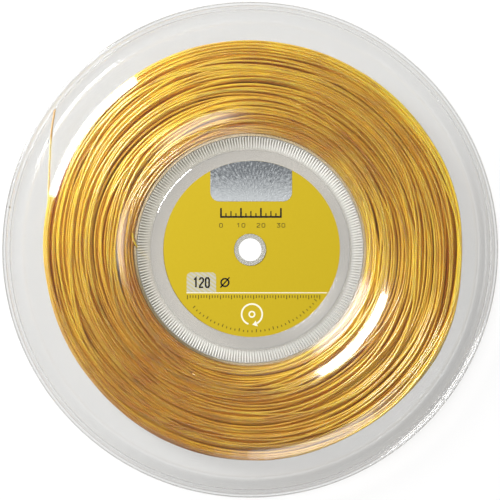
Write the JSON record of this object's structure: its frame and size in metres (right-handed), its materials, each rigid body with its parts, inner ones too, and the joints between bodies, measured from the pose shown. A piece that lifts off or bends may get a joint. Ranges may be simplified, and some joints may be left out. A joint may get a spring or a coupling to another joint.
{
  "type": "string reel",
  "caption": "Clear plastic reel with wide flanges on a ribbed hub, wound full of golden racket string, its tail threaded out through a slot near the rim.",
  "frame": {"origin": "centre of the back rim's resting plane, on the spindle axis", "axes": "+Z along the spindle axis, from the back half towards the front half and its label; +Y towards the foil patch on the front label, +X to the right of that label"},
  "size_m": [0.27, 0.27, 0.019],
  "materials": {
    "clear_plastic": "clear moulded polystyrene, glossy and slightly hazy",
    "tube_plastic": "clear moulded polystyrene, greyer because it is seen edge on",
    "label_film": "semi-gloss printed label, flat mustard yellow",
    "silver_foil": "finely crinkled silver foil sticker",
    "panel_paper": "matt white blank sticker",
    "gold_string": "glossy golden polyester monofilament"
  },
  "bodies": {
    "root": {"front_half": "clear_plastic", "back_half": "clear_plastic", "hub_drum": "clear_plastic", "hub_posts": "clear_plastic", "spindle_tube": "tube_plastic", "front_label": "label_film", "front_foil": "silver_foil", "back_label": "label_film", "back_panel": "panel_paper", "string_core": "gold_string", "string_turns": "gold_string", "string_start": "gold_string", "string_tail": "gold_string"}
  },
  "joints": []
}
